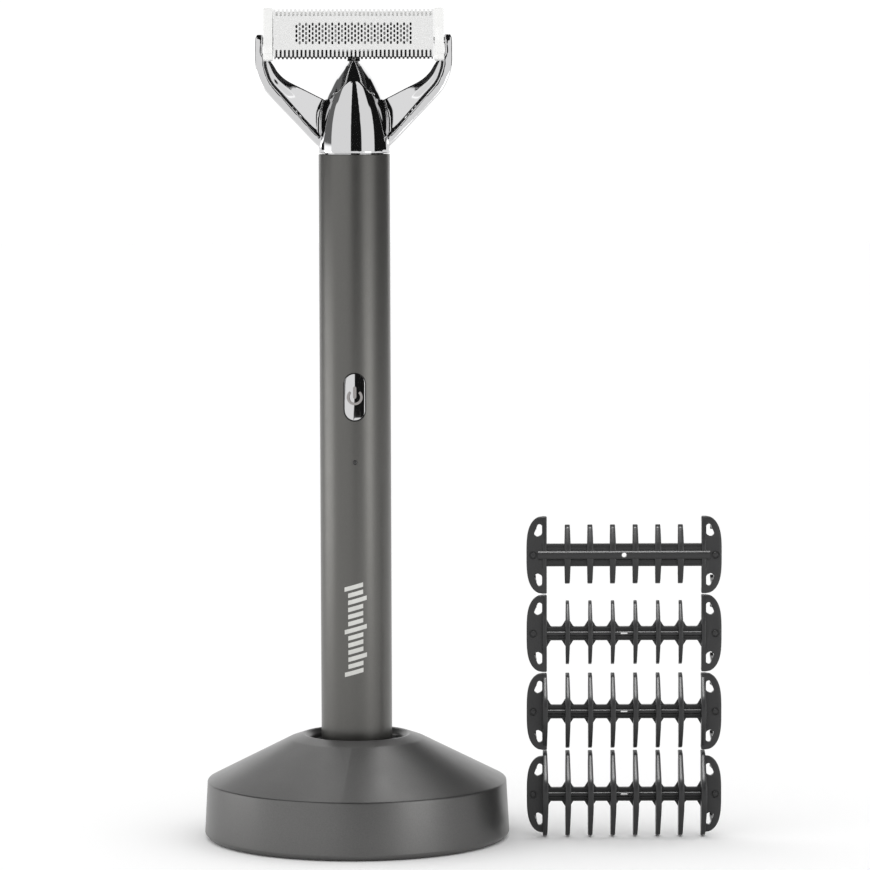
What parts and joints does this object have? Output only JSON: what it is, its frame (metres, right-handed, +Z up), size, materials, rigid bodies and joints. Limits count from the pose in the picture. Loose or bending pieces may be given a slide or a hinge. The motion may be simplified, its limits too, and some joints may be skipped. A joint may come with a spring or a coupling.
{
  "type": "body groomer",
  "caption": "Cordless body groomer with a pivoting foil and comb-blade head on a slim round handle, its round charging stand, and a stack of guide combs.",
  "frame": {"origin": "centre of the charging stand's underside, on the surface that it stands on", "axes": "+Z up along the handle, +X to the right seen from the front, -Y towards the front, where the button is"},
  "size_m": [0.1312, 0.0776, 0.2105],
  "materials": {
    "tube_paint": "satin gunmetal paint on an aluminium tube",
    "stand_plastic": "satin dark grey moulded plastic with a fine grain",
    "chrome": "polished chrome plating",
    "blade_steel": "bright satin steel",
    "white_plastic": "satin white moulded plastic",
    "comb_plastic": "satin black moulded plastic",
    "inner_plastic": "plain dark moulded plastic",
    "socket_plastic": "matt black moulded plastic",
    "rubber": "matt black rubber",
    "inner_steel": "plain steel",
    "board": "green circuit board",
    "gold": "gold-plated brass",
    "cell_wrap": "shrink-wrapped cell",
    "lens": "clear light pipe"
  },
  "bodies": {
    "stand": {"base_pad": "rubber", "base_plate": "inner_plastic", "stand_shell": "stand_plastic", "socket_cup": "socket_plastic", "ballast_ring": "inner_steel", "stand_board": "board", "inlet_shell": "inner_steel", "inlet_tongue": "socket_plastic", "pin_holder": "socket_plastic", "pin_barrel_left": "gold", "pin_barrel_right": "gold", "base_screw_1": "inner_steel", "base_screw_2": "inner_steel", "base_screw_3": "inner_steel"},
    "charge_pin_left": {"pin_plunger_left": "gold"},
    "charge_pin_right": {"pin_plunger_right": "gold"},
    "groomer": {"handle_tube": "tube_paint", "handle_end_cap": "socket_plastic", "charge_contact_left": "gold", "charge_contact_right": "gold", "chassis": "inner_plastic", "battery_cell": "cell_wrap", "control_board": "board", "board_screw_1": "inner_steel", "board_screw_2": "inner_steel", "tact_switch": "socket_plastic", "status_led": "lens", "light_pipe": "lens", "button_seal": "rubber", "motor_mount": "inner_plastic", "motor_can": "inner_steel", "fork_head": "chrome", "lever_pin": "inner_steel", "neck_o_ring": "rubber", "pivot_pin_left": "chrome", "pivot_pin_right": "chrome"},
    "button": {"power_button": "chrome"},
    "rotor": {"motor_shaft": "inner_steel", "drive_cam": "white_plastic"},
    "lever": {"drive_lever": "inner_steel"},
    "cartridge": {"guard_plate": "blade_steel", "cartridge_frame": "white_plastic", "end_cap_left": "white_plastic", "end_cap_right": "white_plastic", "pressure_spring": "inner_steel", "pivot_spring_left": "inner_steel", "pivot_spring_right": "inner_steel"},
    "cutter": {"moving_cutter": "blade_steel", "drive_block": "socket_plastic"},
    "comb_1": {"guide_comb_1": "comb_plastic"},
    "comb_2": {"guide_comb_2": "comb_plastic"},
    "comb_3": {"guide_comb_3": "comb_plastic"},
    "comb_4": {"guide_comb_4": "comb_plastic"}
  },
  "joints": [
    {"name": "groomer_lift", "type": "slide", "parent": "stand", "child": "groomer", "axis": [0, 0, 1], "range_m": [0, 0.06]},
    {"name": "head_tilt", "type": "hinge", "parent": "groomer", "child": "cartridge", "pos_m": [0, 0, 0.2023], "axis": [1, 0, 0], "range_deg": [-15, 15], "stiffness_Nm_per_rad": 0.02},
    {"name": "lever_swing", "type": "hinge", "parent": "groomer", "child": "lever", "pos_m": [0, 0, 0.183], "axis": [0, 1, 0], "range_deg": [-2.5, 2.5]},
    {"name": "blade_slide", "type": "slide", "parent": "cartridge", "child": "cutter", "axis": [1, 0, 0], "range_m": [-0.0008, 0.0008]},
    {"name": "motor_spin", "type": "hinge", "parent": "groomer", "child": "rotor", "pos_m": [0, 0, 0.16], "axis": [0, 0, 1], "continuous": true},
    {"name": "button_press", "type": "slide", "parent": "groomer", "child": "button", "axis": [0, 1, 0], "range_m": [0, 0.0006], "stiffness_N_per_m": 2000},
    {"name": "charge_pin_left_press", "type": "slide", "parent": "stand", "child": "charge_pin_left", "axis": [0, 0, 1], "range_m": [-0.0008, 0], "stiffness_N_per_m": 800},
    {"name": "charge_pin_right_press", "type": "slide", "parent": "stand", "child": "charge_pin_right", "axis": [0, 0, 1], "range_m": [-0.0008, 0], "stiffness_N_per_m": 800},
    {"name": "comb_4_lift", "type": "slide", "parent": "stand", "child": "comb_4", "axis": [0, 0, 1], "range_m": [0, 0.04]},
    {"name": "comb_3_lift", "type": "slide", "parent": "comb_4", "child": "comb_3", "axis": [0, 0, 1], "range_m": [0, 0.04]},
    {"name": "comb_2_lift", "type": "slide", "parent": "comb_3", "child": "comb_2", "axis": [0, 0, 1], "range_m": [0, 0.04]},
    {"name": "comb_1_lift", "type": "slide", "parent": "comb_2", "child": "comb_1", "axis": [0, 0, 1], "range_m": [0, 0.04]}
  ],
  "couplings": [
    {"joint": "lever_swing", "follows": "blade_slide", "rad_per_m": 51.8}
  ]
}
